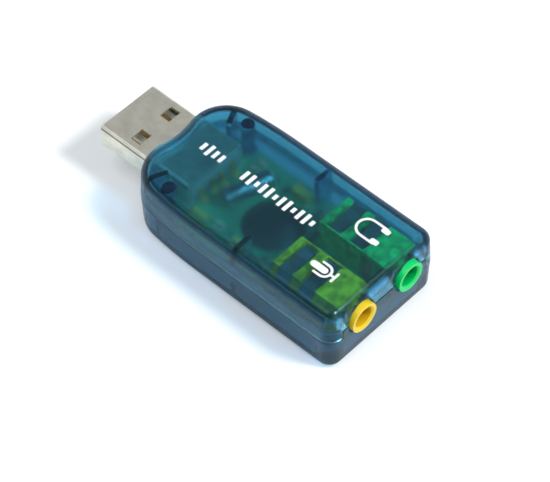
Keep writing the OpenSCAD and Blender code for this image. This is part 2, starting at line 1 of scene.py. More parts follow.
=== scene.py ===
"""Looks of a plug-in sound card: see-through blue-green housing, nickel plug, two coloured sockets."""

import math

import bmesh
import bpy
from bpy.props import FloatProperty, FloatVectorProperty, IntProperty, PointerProperty
from mathutils import Matrix, Vector


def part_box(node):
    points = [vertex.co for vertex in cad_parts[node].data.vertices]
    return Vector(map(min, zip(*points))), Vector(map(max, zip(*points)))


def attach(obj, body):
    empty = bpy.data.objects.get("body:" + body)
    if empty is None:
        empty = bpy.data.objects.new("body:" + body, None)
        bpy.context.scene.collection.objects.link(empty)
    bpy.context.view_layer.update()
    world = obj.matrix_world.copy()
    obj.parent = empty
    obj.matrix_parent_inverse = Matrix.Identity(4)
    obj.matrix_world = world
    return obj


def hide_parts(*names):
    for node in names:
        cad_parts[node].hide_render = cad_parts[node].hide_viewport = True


bl_info = {
    "name": "Sound Card Maker",
    "version": (1, 0, 0),
    "blender": (4, 5, 0),
    "location": "View3D > Sidebar > Sound Card",
    "description": "Builds the housing, plug, sockets, board and print of a small plug-in sound card",
    "category": "Object",
}

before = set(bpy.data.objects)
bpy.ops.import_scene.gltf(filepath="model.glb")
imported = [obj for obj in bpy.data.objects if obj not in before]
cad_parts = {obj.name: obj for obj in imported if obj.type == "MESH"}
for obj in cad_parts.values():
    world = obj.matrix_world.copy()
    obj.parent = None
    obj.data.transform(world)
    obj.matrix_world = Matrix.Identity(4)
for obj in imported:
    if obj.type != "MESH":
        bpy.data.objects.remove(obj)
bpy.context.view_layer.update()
MM = 0.001
BLACK = (0, 0, 0)
WHITE = (1, 1, 1)


def corner(node, side):
    """The lowest (side 0) or highest (side 1) corner of a CAD node."""
    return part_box(node)[side]


FRONT_X = corner("lower_shell", 0)[0]
REAR_X = corner("lower_shell", 1)[0]
HALF_W = corner("lower_shell", 1)[1]
TOP_Z = corner("upper_shell", 1)[2]
BOARD_Z = corner("circuit_board", 0)[2]
BOARD_TOP = corner("circuit_board", 1)[2]
MOUTH_X = corner("headphone_jack_body", 1)[0]
JACK_Y = (corner("headphone_jack_body", 0)[1] + corner("headphone_jack_body", 1)[1]) / 2
AXIS_ABOVE_BOARD = 3.1 * MM
AXIS_Z = BOARD_TOP + AXIS_ABOVE_BOARD

# Inside the housing: how far a part reaches into what carries it, the posts of the lower shell, the
# posts and pins of the upper shell, the holes for those pins, and the holes round the sockets' collars
BURY = 0.4 * MM
POST_FROM_FRONT = 7.7 * MM
POST_R = 1.5 * MM
UPPER_POST_R = 1.1 * MM
PIN_R = 0.75 * MM
PIN_HOLE_R = 0.85 * MM
COLLAR_HOLE_R = 2.9 * MM

# Print on the roof: where each group of bars starts and where the pictograms' middles lie along X
FRONT_BARS_X = -10.8 * MM
REAR_BARS_X = -2.1 * MM
BARS_Y = 0.2 * MM
LONGEST_BAR = 2.3 * MM
HEADPHONES_X = 19.2 * MM
MICROPHONE_X = 18.6 * MM

# Stage: places in metres, turns in radians
KEY_PLACE = (0.30, 0.13, 0.40)
KEY_WIDTH = 0.12
FILL_PLACE = (-0.08, -0.16, 0.50)
FILL_WIDTH = 0.30
CAMERA_PLACE = (0.181175, -0.187379, 0.322842)
CAMERA_TURN = (0.67707, 0.00557, 0.74978)
FLOOR_Z = -0.03 * MM


def size(name, description, mm):
    """A length that the sidebar shows in the scene's units."""
    return FloatProperty(name=name, description=description, default=mm * MM, subtype="DISTANCE",
                         unit="LENGTH", precision=5)


def tint(name, description, rgb):
    """A colour, given as the linear value that the shader takes."""
    return FloatVectorProperty(name=name, description=description, default=rgb, size=3, min=0, max=1,
                               subtype="COLOR")


def share(name, description, value):
    """A number from 0 to 1."""
    return FloatProperty(name=name, description=description, default=value, min=0, max=1)


def amount(name, description, value):
    """A number from 0 upwards."""
    return FloatProperty(name=name, description=description, default=value, min=0)


def whole(name, description, value):
    """A whole number from 1 upwards."""
    return IntProperty(name=name, description=description, default=value, min=1)


class HousingSettings(bpy.types.PropertyGroup):
    """Form and plastic of the two shells."""
    wall: size("Wall", "Thickness of the side walls", 1.6)
    floor_t: size("Floor", "Thickness of the floor", 1.5)
    roof_t: size("Roof", "Thickness of the roof", 1.5)
    top_round: size("Top rounding", "Radius of the top edge", 2.1)
    bottom_round: size("Bottom rounding", "Radius of the bottom edge", 1.6)
    draft: size("Draft", "How far the walls lean in from the seam", 0.2)
    rear_round: size("Rear corners", "Radius of the rear corners in plan", 2.5)
    front_round: size("Front corners", "Radius of the front corners in plan", 6.8)
    shoulder_in: size("Shoulder", "How much narrower each side is at the front corner", 0.5)
    sweep: size("Sweep", "Radius of the long sweep into the sides", 80)
    front_dip: size("Front hollow", "How far the middle of the front is hollowed", 0.6)
    seam_h: size("Seam", "Height of the seam at the sides", 6.5)
    seam_gap: size("Seam groove", "Open groove along the seam", 0.12)
    slip: size("Clearance", "Gap between parts that slip into each other", 0.1)
    inner_round: size("Inner rounding", "Radius between walls and floor inside", 0.5)
    edge: size("Broken edge", "Rounding of the moulded edges of holes, ribs and seams", 0.07)
    lower_tint: tint("Lower plastic", "Surface tint of the lower shell", (0.24, 0.60, 0.73))
    upper_tint: tint("Upper plastic", "Surface tint of the upper shell", (0.38, 0.82, 0.90))
    absorb_tint: tint("Absorption", "Colour that the plastic lets through", (0.0, 0.40, 0.61))
    absorb: amount("Absorption density", "How strongly the plastic takes light, per metre", 400)
    upper_clarity: share("Upper clarity", "Share of light that enters the upper shell", 0.985)
    lower_clarity: share("Lower clarity", "Share of light that enters the lower shell", 0.92)
    # Painted shade: the share of its tint the plastic keeps where shade is painted at rounded edges, seams
    # and the rear wall
    painted_shade_share: share("Rim tint", "How much of its tint the plastic keeps along rounded edges", 0.30)
    gloss: share("Roughness", "How much the plastic blurs what is seen through it", 0.18)
    # Painted reflection: a bluish tint on what the plastic mirrors, standing in for the shaded floor around
    # it
    painted_reflection_tint: tint("Reflection tint", "Colour of what the plastic mirrors", (0.28, 0.52, 0.68))


class MetalSettings(bpy.types.PropertyGroup):
    """Colours of the metal pieces."""
    nickel: tint("Nickel", "Plug shell", (0.96, 0.95, 0.83))
    gilt: tint("Gilt", "Contacts of the plug", (0.62, 0.44, 0.17))
    tinned: tint("Tinned spring", "Contact springs of the sockets", (0.42, 0.43, 0.42))
    steel: tint("Steel can", "Can of the crystal", (0.52, 0.54, 0.54))
    solder: tint("Solder", "Solder under the board", (0.70, 0.70, 0.72))


class SocketSettings(bpy.types.PropertyGroup):
    """Colours of the moulded sockets."""
    headphone: tint("Headphone green", "Plastic of the headphone socket", (0.0, 0.76, 0.17))
    microphone: tint("Microphone yellow", "Plastic of the microphone socket", (0.98, 0.70, 0.02))


class BoardSettings(bpy.types.PropertyGroup):
    """Colours of the board and of what is soldered to it."""
    mask: tint("Solder mask", "Green of the board", (0.035, 0.200, 0.100))
    epoxy: tint("Epoxy", "Drop over the sound chip", (0.004, 0.005, 0.006))
    ceramic: tint("Ceramic", "Small capacitors", (0.40, 0.27, 0.16))
    amber: tint("Amber", "Coupling capacitors", (0.42, 0.24, 0.05))


class PrintSettings(bpy.types.PropertyGroup):
    """The white print on the roof: plain level bars and two pictograms."""
    ink: tint("Ink", "Colour of the print", (0.97, 0.98, 1.0))
    height: size("Ink height", "How far the ink stands on the roof", 0.02)
    bar_w: size("Bar width", "Width of a level bar", 0.66)
    pitch: size("Bar pitch", "Distance between level bars", 1.26)
    front_count: whole("Bars in front", "Level bars of the front group", 4)
    rear_count: whole("Bars behind", "Level bars of the rear group", 12)
    stroke: size("Stroke", "Line width of the pictograms", 0.42)


class StageSettings(bpy.types.PropertyGroup):
    """Floor, lamps and camera."""
    key_power: amount("Key lamp", "Power of the small lamp beyond the sockets, in watts", 1.80)
    fill_power: amount("Fill lamp", "Power of the wide lamp over the near side, in watts", 0.62)
    sky: amount("Sky", "Strength of the even light from all round", 0.36)
    overhead: amount("Overhead", "What the object mirrors from above, where 1 is white", 0.36)
    lens: FloatProperty(name="Lens", description="Focal length in millimetres", default=174.496, min=10)


# Shader maths

class Value:
    """An output of a shader node that can be used in sums."""

    def __init__(self, tree, socket):
        self.tree = tree
        self.socket = socket

    def other(self, name):
        """Another output of the same node, by its name or number."""
        return Value(self.tree, self.socket.node.outputs[name])

    def sum(self, operation, first, second=None):
        """A Math node on values or plain numbers."""
        node = self.tree.nodes.new("ShaderNodeMath")
        node.operation = operation
        for slot, item in zip(node.inputs, (first, second)):
            if isinstance(item, Value):
                self.tree.links.new(item.socket, slot)
            elif item is not None:
                slot.default_value = item
        return Value(self.tree, node.outputs[0])

    def __add__(self, other):
        return self.sum("ADD", self, other)

    def __radd__(self, other):
        return self.sum("ADD", other, self)

    def __sub__(self, other):
        return self.sum("SUBTRACT", self, other)

    def __rsub__(self, other):
        return self.sum("SUBTRACT", other, self)

    def __mul__(self, other):
        return self.sum("MULTIPLY", self, other)

    def __rmul__(self, other):
        return self.sum("MULTIPLY", other, self)

    def __pow__(self, other):
        return self.sum("POWER", self, other)

    def __abs__(self):
        return self.sum("ABSOLUTE", self)

    def above(self, other):
        return self.sum("GREATER_THAN", self, other)

    def below(self, other):
        return self.sum("LESS_THAN", self, other)


class Nodes:
    """A node tree under construction, with its output node."""

    def __init__(self, tree, output):
        self.tree = tree
        self.tree.nodes.clear()
        self.output = self.tree.nodes.new(output)

    def add(self, kind, settings=None, values=None, out=0):
        """A node of a type, with its settings first and then the values or links of its sockets."""
        node = self.tree.nodes.new(kind)
        for key, item in (settings or {}).items():
            if key == "stops":
                ramp = node.color_ramp
                while len(ramp.elements) < len(item):
                    ramp.elements.new(1)
                for stop, (place, colour) in zip(ramp.elements, item):
                    stop.position = place
                    stop.color = (*colour, 1) if len(colour) == 3 else colour
            else:
                setattr(node, key, item)
        for key, item in (values or {}).items():
            self.feed(node.inputs[key], item)
        return Value(self.tree, node.outputs[out])

    def feed(self, slot, item):
        """Links a value to a socket, or sets the socket's own value."""
        if isinstance(item, Value):
            self.tree.links.new(item.socket, slot)
        elif hasattr(slot.default_value, "__len__") and len(slot.default_value) == 4 and len(item) == 3:
            slot.default_value = (*item, 1)
        else:
            slot.default_value = item

    def feed_output(self, name, value):
        self.tree.links.new(value.socket, self.output.inputs[name])


class Finish(Nodes):
    """The shader nodes of a material or of the world."""

    def __init__(self, name, world=False):
        self.owner = (bpy.data.worlds if world else bpy.data.materials).new(name)
        self.owner.use_nodes = True
        super().__init__(self.owner.node_tree,
                         "ShaderNodeOutputWorld" if world else "ShaderNodeOutputMaterial")

    def place(self):
        return self.add("ShaderNodeTexCoord", out="Object")

    def axes(self, place):
        parts = self.add("ShaderNodeSeparateXYZ", None, {0: place})
        return [parts.other(i) for i in range(3)]

    def stretched(self, place, scale):
        return self.add("ShaderNodeMapping", None, {"Vector": place, "Scale": scale})

    def noise(self, place, scale, detail=2, rough=0.5):
        return self.add("ShaderNodeTexNoise", None,
                        {"Vector": place, "Scale": scale, "Detail": detail, "Roughness": rough})

    def ramp(self, value, stops):
        return self.add("ShaderNodeValToRGB", {"stops": stops}, {"Fac": value})

    def blend(self, factor, first, second):
        """A mix of two colours; 6, 7 and 2 are the colour sockets of a Mix node."""
        return self.add("ShaderNodeMix", {"data_type": "RGBA"},
                        {"Factor": factor, 6: first, 7: second}, out=2)

    def bump(self, height, strength, distance):
        return self.add("ShaderNodeBump", None,
                        {"Height": height, "Strength": strength, "Distance": distance})

    def surface(self, values):
        """Ends an opaque material and returns it."""
        self.feed_output("Surface", self.add("ShaderNodeBsdfPrincipled", None, values))
        return self.owner


def band(start, full, fading, end):
    """Ramp stops of a band that fades in, stays and fades out."""
    return [(start, BLACK), (full, WHITE), (fading, WHITE), (end, BLACK)]


def rise(start, end):
    """Ramp stops that go from nothing to all."""
    return [(start, BLACK), (end, WHITE)]


def scaled(colour, factor):
    return tuple(c * factor for c in colour)


def clear_plastic(name, tint_value, clarity, s):
    """See-through moulded plastic, with painted shade that darkens its tint at rounded edges, seams and the
    rear wall.
    """
    f = Finish(name)
    place = f.place()
    ripple = f.noise(place, scale=260)
    haze = f.noise(place, scale=2600, detail=3)
    x, y, z = f.axes(place)
    off_middle = abs(y)
    panel_half = HALF_W - s.rear_round - 0.2 * MM
    # Painted shade: a dark line some tenths of a millimetre high, within half a millimetre of the seam
    line = band(0.36, 0.44, 0.66, 0.74)
    side_seam_shade = f.ramp((z - s.seam_h + 0.5 * MM) * (1 / MM), line) * off_middle.above(panel_half)
    rear_seam_shade = f.ramp((z - AXIS_Z + 0.5 * MM) * (1 / MM), line) * off_middle.below(panel_half)
    shade_between_collars = off_middle.below(2.3 * MM) * z.above(AXIS_Z - 1.5 * MM)
    shaded_rear_wall = x.above(REAR_X - s.wall - s.slip)
    # Painted shade: the seam lines, the whole rear wall and the part between the collars are darkened
    seams = side_seam_shade + (rear_seam_shade + 0.3 + shade_between_collars * 0.4) * shaded_rear_wall
    # Painted shade along the rounded bottom and top edges, as shares of the height
    painted_rim_shade = f.ramp(z * (1 / TOP_Z), band(0.012, 0.03, 0.085, 0.11) + band(0.895, 0.92, 0.975, 0.992))
    shader = f.add("ShaderNodeBsdfPrincipled", None, {
        # The base colour turns darker wherever shade is painted
        "Base Color": f.blend(painted_rim_shade + seams, tint_value, scaled(tint_value, s.painted_shade_share)),
        "Roughness": s.gloss + haze * 0.06,
        "IOR": 1.5,
        "Specular IOR Level": 0.30,
        # Painted reflection colour, in place of white reflections of shaded surroundings
        "Specular Tint": tuple(s.painted_reflection_tint),
        "Transmission Weight": clarity,
        "Normal": f.bump(ripple, strength=0.03, distance=0.3 * MM),
    })
    passed = tuple(c ** 0.35 for c in tint_value)
    open_to_lamps = f.add("ShaderNodeBsdfTransparent", None, {"Color": passed})
    shadow_ray = f.add("ShaderNodeLightPath").other("Is Shadow Ray")
    f.feed_output("Surface", f.add("ShaderNodeMixShader", None,
                                   {0: shadow_ray, 1: shader, 2: open_to_lamps}))
    f.feed_output("Volume", f.add("ShaderNodeVolumeAbsorption", None,
                                  {"Color": tuple(s.absorb_tint), "Density": s.absorb}))
    return f.owner


def rolled_metal(name, colour, grain, rough, along=0, shaded_fold=None):
    """Rolled or plated sheet: fine lines along an axis, soft stains, and painted shade as a dark line under
    the bend at (y, z).
    """
    f = Finish(name)
    place = f.place()
    scale = [grain, grain, grain]
    scale[along] = grain / 18
    lines = f.noise(f.stretched(place, tuple(scale)), scale=1, detail=3, rough=0.6)
    stain = f.noise(place, scale=420, detail=3, rough=0.6)
    base = f.blend(f.ramp(stain, rise(0.35, 0.7)), colour, scaled(colour, 0.80))
    # Painted shade: a dark line just under the bend along the side faces
    if shaded_fold:
        fold_y, fold_z = shaded_fold
        shade_depth = 1.2 * MM
        y, z = f.axes(place)[1:]
        line = f.ramp((z - (fold_z - shade_depth)) * (1 / shade_depth), band(0.40, 0.48, 0.70, 0.80))
        base = f.blend(abs(y).above(fold_y) * line * 0.85, base, scaled(colour, 0.16))
    return f.surface({
        "Base Color": base,
        "Metallic": 1.0,
        "Roughness": rough + (lines - 0.5) * 0.16 + (stain - 0.5) * 0.10,
        "Normal": f.bump(lines, strength=0.12, distance=0.04 * MM),
    })


def socket_shade(axis_y, painted_shade_colour):
    """Painted shade: dark blots where a socket lies inside the housing, and a darker colour down its bore
    along X.
    """
    inner_x = REAR_X - 1.7 * MM
    bore_r = 2.0 * MM
    bore_depth = 3.5 * MM

    def shade(f, place, base):
        x, y, z = f.axes(place)
        shade_blot = f.ramp(f.noise(place, scale=540, detail=3, rough=0.6), rise(0.40, 0.62))
        # Painted shade: mottled darkening under the roof, inside the housing
        base = f.blend(x.below(inner_x) * shade_blot * 0.68, base, scaled(painted_shade_colour, 0.35))
        away = ((y - axis_y) ** 2 + (z - AXIS_Z) ** 2) ** 0.5
        bore_shade_ramp = f.ramp((MOUTH_X - x) * (1 / bore_depth), rise(0.04, 0.7))
        # Painted shade: darker further down the bore
        return f.blend(away.below(bore_r) * bore_shade_ramp, base, painted_shade_colour)
    return shade


def tongue_shade(f, place, base):
    """Painted shade: the insulator is darker where it lies inside the housing."""
    x = f.axes(place)[0]
    return f.blend(x.above(FRONT_X), base, (0.30, 0.31, 0.28))


def moulded(name, colour, rough=0.36, glow=0.0, shade=None):
    """Moulded plastic with a fine spark-eroded skin."""
    f = Finish(name)
    place = f.place()
    skin = f.noise(place, scale=5200)
    cloud = f.noise(place, scale=260)
    base = f.blend(cloud, scaled(colour, 0.86), colour)
    # A shade function adds painted shade to the base colour
    if shade:
        base = shade(f, place, base)
    values = {
        "Base Color": base,
        "Roughness": rough + (skin - 0.5) * 0.14,
        "Normal": f.bump(skin, strength=0.16, distance=0.03 * MM),
    }
    if glow:
        values["Subsurface Weight"] = glow
        values["Subsurface Scale"] = 1.2 * MM
        values["Subsurface Radius"] = (1.0, 1.0, 0.6)
    return f.surface(values)


def board_mask(name, colour):
    """Solder mask over copper: broad poured fields, slightly lighter tracks and a little waviness."""
    f = Finish(name)
    place = f.place()
    wave = f.noise(place, scale=170)
    maze = f.add("ShaderNodeTexVoronoi", {"feature": "DISTANCE_TO_EDGE", "distance": "MANHATTAN"},
                 {"Vector": place, "Scale": 620}, out="Distance")
    track = f.ramp(maze, [(0.05, WHITE), (0.11, BLACK)])
    pour = f.ramp(wave, rise(0.46, 0.50))
    field = f.blend(pour, colour, scaled(colour, 1.35))
    return f.surface({
        "Base Color": f.blend(track, field, scaled(colour, 1.5)),
        "Roughness": 0.30 + wave * 0.12,
        "Normal": f.bump(track, strength=0.25, distance=0.03 * MM),
        "Coat Weight": 0.3,
    })


def epoxy_drop(name, colour):
    """Black epoxy with slow swells and fine grit."""
    f = Finish(name)
    place = f.place()
    swell = f.noise(place, scale=330)
    grit = f.noise(place, scale=3800)
    return f.surface({
        "Base Color": f.blend(swell, colour, scaled(colour, 2.4)),
        "Roughness": 0.45 + grit * 0.16,
        "Normal": f.bump(swell + grit * 0.05, strength=0.35, distance=0.2 * MM),
    })


def grainy_chip(name, colour, light):
    """Fired body of a small chip, with a grain between two shades."""
    f = Finish(name)
    place = f.place()
    grain = f.noise(place, scale=2200)
    return f.surface({
        "Base Color": f.blend(grain, colour, light),
        "Roughness": 0.42 + grain * 0.2,
        "Normal": f.bump(grain, strength=0.2, distance=0.03 * MM),
    })


def screen_ink(name, colour):
    """White screen print: even, with a faint weave of the screen in its height."""
    f = Finish(name)
    place = f.place()
    mesh = f.noise(place, scale=6200, detail=1)
    return f.surface({
        "Base Color": f.blend(mesh, scaled(colour, 0.94), colour),
        "Roughness": 0.5 + mesh * 0.12,
        "Normal": f.bump(mesh, strength=0.2, distance=0.01 * MM),
    })


# Meshes

def new_piece(name, bm, material, smooth=32):
    """A finished object at the origin from a bmesh, smooth but for edges sharper than an angle."""
    mesh = bpy.data.meshes.new(name)
    bm.to_mesh(mesh)
    bm.free()
    mesh.materials.append(material)
    for polygon in mesh.polygons:
        polygon.use_smooth = True
    mesh.set_sharp_from_angle(angle=math.radians(smooth))
    piece = bpy.data.objects.new(name, mesh)
    bpy.context.scene.collection.objects.link(piece)
    return piece


def evaluated(piece):
    """Works an object's modifiers into its mesh."""
    bpy.context.view_layer.update()
    depsgraph = bpy.context.evaluated_depsgraph_get()
    mesh = bpy.data.meshes.new_from_object(piece.evaluated_get(depsgraph),
                                           preserve_all_data_layers=True, depsgraph=depsgraph)
    piece.modifiers.clear()
    old = piece.data
    mesh.name = old.name
    piece.data = mesh
    bpy.data.meshes.remove(old)
    return piece


def combine(piece, others, operation):
    """Cuts others out of a piece, or fuses them with it, and removes them."""
    for other in others:
        modifier = piece.modifiers.new("cut", "BOOLEAN")
        modifier.operation = operation
        modifier.solver = "EXACT"
        modifier.object = other
    evaluated(piece)
    for other in others:
        mesh = other.data
        bpy.data.objects.remove(other)
        bpy.data.meshes.remove(mesh)
    return piece


def tool(name, bm):
    """A helper object for a cut or a fusion."""
    bmesh.ops.recalc_face_normals(bm, faces=bm.faces)
    mesh = bpy.data.meshes.new(name)
    bm.to_mesh(mesh)
    bm.free()
    piece = bpy.data.objects.new(name, mesh)
    bpy.context.scene.collection.objects.link(piece)
    return piece


def prism(outline, z0, z1):
    """A bmesh prism over a plan outline."""
    bm = bmesh.new()
    low = [bm.verts.new((x, y, z0)) for x, y in outline]
    high = [bm.verts.new((x, y, z1)) for x, y in outline]
    bm.faces.new(low[::-1])
    bm.faces.new(high)
    for i in range(len(outline)):
        k = (i + 1) % len(outline)
        bm.faces.new((low[i], low[k], high[k], high[i]))
    return bm


def block(x0, x1, y0, y1, z0, z1):
    """A bmesh block between two corners."""
    return prism([(x0, y0), (x1, y0), (x1, y1), (x0, y1)], z0, z1)


def plate(foot, way, across, profile, side):
    """A bmesh plate on edge, with its profile as (run, height), on one side of the middle plane."""
    bm = bmesh.new()
    faces = []
    for shift in (across, -across):
        spots = [(foot + way * run + shift, z) for run, z in profile]
        faces.append([bm.verts.new((p.x, side * p.y, z)) for p, z in spots])
    bm.faces.new(faces[0])
    bm.faces.new(faces[1][::-1])
    for i in range(len(profile)):
        k = (i + 1) % len(profile)
        bm.faces.new((faces[0][i], faces[0][k], faces[1][k], faces[1][i]))
    return bm


def disc(x, y, r, steps=40):
    """Points of a circle."""
    return [(x + r * math.cos(2 * math.pi * i / steps), y + r * math.sin(2 * math.pi * i / steps))
            for i in range(steps)]


def turned_to_x(bm):
    """Turns a bmesh drawn along Z so that it lies along X: (x, y, z) becomes (z, x, y)."""
    turn = Matrix(((0, 0, 1, 0), (1, 0, 0, 0), (0, 1, 0, 0), (0, 0, 0, 1)))
    bmesh.ops.transform(bm, matrix=turn, verts=bm.verts)
    return bm


def rounded_box_outline(w, h, r, cx, cy, steps=8):
    """Points of a rectangle with rounded corners."""
    points = []
    for k, (sx, sy) in enumerate(((1, 1), (-1, 1), (-1, -1), (1, -1))):
        for i in range(steps + 1):
            a = math.pi / 2 * (k + i / steps)
            points.append((cx + sx * (w / 2 - r) + r * math.cos(a),
                           cy + sy * (h / 2 - r) + r * math.sin(a)))
    return points


# Housing

def arc(cx, cy, r, a0, a1, steps, side):
    """Points of an arc, each with the way the wall faces there."""
    out = []
    for i in range(steps + 1):
        a = a0 + (a1 - a0) * i / steps
        out.append((cx + r * math.cos(a), cy + r * math.sin(a), side * math.cos(a), side * math.sin(a)))
    return out


def housing_outline(s):
    """Plan of the housing as tangent arcs, from the middle of the front round to the middle of the rear."""
    length = REAR_X - FRONT_X
    corner_y = HALF_W - s.front_round - s.shoulder_in
    dip = s.front_dip
    hollow_r = (corner_y ** 2 - 2 * s.front_round * dip + dip ** 2) / (2 * dip)
    hollow_a = math.asin(corner_y / (hollow_r + s.front_round))
    sweep_a = math.acos((s.sweep + corner_y - HALF_W) / (s.sweep - s.front_round))
    sweep_x = s.front_round + (s.sweep - s.front_round) * math.sin(sweep_a)
    half = arc(dip - hollow_r, 0, hollow_r, 0, hollow_a, 12, -1)
    side_a = math.pi / 2
    half += arc(s.front_round, corner_y, s.front_round, math.pi + hollow_a, side_a + sweep_a, 26, 1)[1:]
    half += arc(sweep_x, HALF_W - s.sweep, s.sweep, side_a + sweep_a, side_a, 8, 1)[1:]
    half += arc(length - s.rear_round, HALF_W - s.rear_round, s.rear_round, side_a, 0, 14, 1)
    other = [(x, -y, nx, -ny) for x, y, nx, ny in half[:0:-1]]
    return [(FRONT_X + x, y, nx, ny) for x, y, nx, ny in half + other], corner_y, sweep_x


def fillet(cx, cz, r, a0, a1, steps=9):
    """Points of a rounding in a profile, between two angles in degrees."""
    out = []
    for i in range(steps + 1):
        a = math.radians(a0 + (a1 - a0) * i / steps)
        out.append((cx + r * math.cos(a), cz + r * math.sin(a)))
    return out


def swept(outline, profile):
    """A bmesh of a profile of (inset, height) points swept round the outline, closed by its two caps."""
    bm = bmesh.new()
    rings = [[bm.verts.new((x - nx * p, y - ny * p, z)) for x, y, nx, ny in outline] for p, z in profile]
    n = len(outline)
    for low, high in zip(rings, rings[1:]):
        for j in range(n):
            k = (j + 1) % n
            bm.faces.new((low[j], high[j], high[k], low[k]))
    bm.faces.new(rings[0])
    bm.faces.new(rings[-1][::-1])
    bmesh.ops.recalc_face_normals(bm, faces=bm.faces)
    return bm


def rear_panel(s, grow, x0, x1, z0, z1):
    """The raised panel of the rear wall, as a solid to fuse or to cut."""
    half = HALF_W - s.rear_round - 3 * s.slip + grow
    return tool("rear_panel", block(x0, x1, -half, half, z0, z1))


def plug_opening(s):
    """The opening in the front wall for the plug, as a solid to cut."""
    low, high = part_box("plug_shell")
    w = high[1] - low[1] + 2 * s.slip
    h = high[2] - BOARD_TOP + 2 * s.slip
    corner_r = 0.75 * MM
    outline = rounded_box_outline(w, h, corner_r, 0, (high[2] + BOARD_TOP) / 2)
    ahead = 2 * MM
    behind = 3.5 * MM
    return tool("plug_opening", turned_to_x(prism(outline, FRONT_X - ahead, FRONT_X + behind)))


def collar_holes(s):
    """The holes in the rear wall round the sockets' collars, as solids to cut."""
    holes = []
    for side in (-1, 1):
        circle = disc(side * JACK_Y, s.lip_top, COLLAR_HOLE_R, 64)
        holes.append(tool("collar_hole", turned_to_x(prism(circle, REAR_X - s.wall - MM, REAR_X + MM))))
    return holes


class Housing:
    """The housing's settings, with what both shells work out from them and from the CAD nodes."""

    def __init__(self, s):
        self.settings = s
        self.outline, self.corner_y, self.sweep_x = housing_outline(s)
        self.lip_top = AXIS_Z
        self.lip_in = s.wall / 2
        self.roof_z = TOP_Z - s.roof_t
        swept_y = HALF_W - s.sweep + math.sqrt(s.sweep ** 2 - (self.sweep_x - POST_FROM_FRONT) ** 2)
        self.post_x = FRONT_X + POST_FROM_FRONT
        self.post_y = swept_y - s.wall - POST_R + BURY / 2
        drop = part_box("sound_chip_drop")
        self.rib_x = (drop[0][0] + drop[1][0]) / 2 + 2.1 * MM

    def __getattr__(self, key):
        return getattr(self.settings, key)

    def ribs(self, z0, z1, hang=None):
        """Leaning ribs at the front corners and straight ones midway, clear of the wall below a height."""
        around = math.radians(119)
        lean = math.radians(25)
        corner_end_y = 6.7 * MM
        side_run = 3 * MM
        root = -0.8 * MM
        half_t = 0.45 * MM
        reach = self.front_round - self.wall
        corner_foot = Vector((FRONT_X + self.front_round + reach * math.cos(around),
                              self.corner_y + reach * math.sin(around)))
        corner_way = Vector((math.sin(lean), -math.cos(lean)))
        corner_run = (corner_foot.y - corner_end_y) / math.cos(lean)
        side_foot = Vector((self.rib_x, HALF_W - self.wall))
        side_way = Vector((0, -1))
        out = []
        for foot, way, run in ((corner_foot, corner_way, corner_run), (side_foot, side_way, side_run)):
            profile = [(root, hang or z0), (root, z1), (run, z1), (run, z0)]
            if hang:
                profile += [(self.slip, z0), (self.slip, hang)]
            across = Vector((way.y, -way.x)) * half_t
            for side in (1, -1):
                out.append(tool("rib", plate(foot, way, across, profile, side)))
        return out

    def pillars(self, name, r, z0, z1):
        """Two round solids at the places of the posts."""
        return [tool(name, prism(disc(self.post_x, side * self.post_y, r), z0, z1)) for side in (-1, 1)]


def finish_shell(piece, material, edge):
    """Breaks the sharp edges a little, and keeps flat faces flat under the smooth shading."""
    piece.data.materials.clear()
    piece.data.materials.append(material)
    clean = piece.modifiers.new("join", "WELD")
    clean.merge_threshold = 0.002 * MM
    bevel = piece.modifiers.new("edge", "BEVEL")
    bevel.width = edge
    bevel.segments = 2
    bevel.limit_method = "ANGLE"
    bevel.angle_limit = math.radians(50)
    bevel.use_clamp_overlap = True
    bevel.miter_outer = "MITER_ARC"
    evaluated(piece)
    for polygon in piece.data.polygons:
        polygon.use_smooth = True
    piece.data.set_sharp_from_angle(angle=math.radians(38))
    weighted = piece.modifiers.new("weighted", "WEIGHTED_NORMAL")
    weighted.keep_sharp = True
    return evaluated(piece)


def make_lower_shell(s, material):
    """Tub with a lap lip, a raised rear panel, ribs, posts and corner blocks for the board."""
    h = Housing(s)
    lip_x = h.lip_in + h.slip / 2
    profile = fillet(h.wall + h.inner_round, h.floor_t + h.inner_round, h.inner_round, -90, -180, 6)
    profile += [(h.wall, h.lip_top), (lip_x, h.lip_top), (lip_x, h.seam_h), (0, h.seam_h)]
    profile += fillet(h.draft + h.bottom_round, h.bottom_round, h.bottom_round, 180, 270)
    shell = tool("lower_shell_skin", swept(h.outline, profile))
    foot_z = h.floor_t - BURY
    parts = h.ribs(foot_z, BOARD_Z) + h.pillars("post", POST_R, foot_z, BOARD_TOP)
    block_x = REAR_X - h.wall + BURY
    block_len = 2.7 * MM
    block_w = 2 * MM
    for side in (-1, 1):
        y0, y1 = sorted((side * (HALF_W - h.wall - block_w), side * (HALF_W - h.wall + BURY)))
        parts.append(tool("corner_block", block(block_x - block_len, block_x, y0, y1, foot_z, BOARD_Z)))
    # The panel stops a hair short of the wall's face and dips a little into the wall, so that it fuses
    panel_x = REAR_X - 0.001 * MM
    panel_z = h.seam_h - 0.02 * MM
    parts.append(rear_panel(h, 0, REAR_X - h.wall, panel_x, panel_z, h.lip_top))
    combine(shell, parts, "UNION")
    pin_holes = h.pillars("pin_hole", PIN_HOLE_R, h.floor_t, TOP_Z)
    combine(shell, [plug_opening(h)] + collar_holes(h) + pin_holes, "DIFFERENCE")
    return finish_shell(shell, material, h.edge)


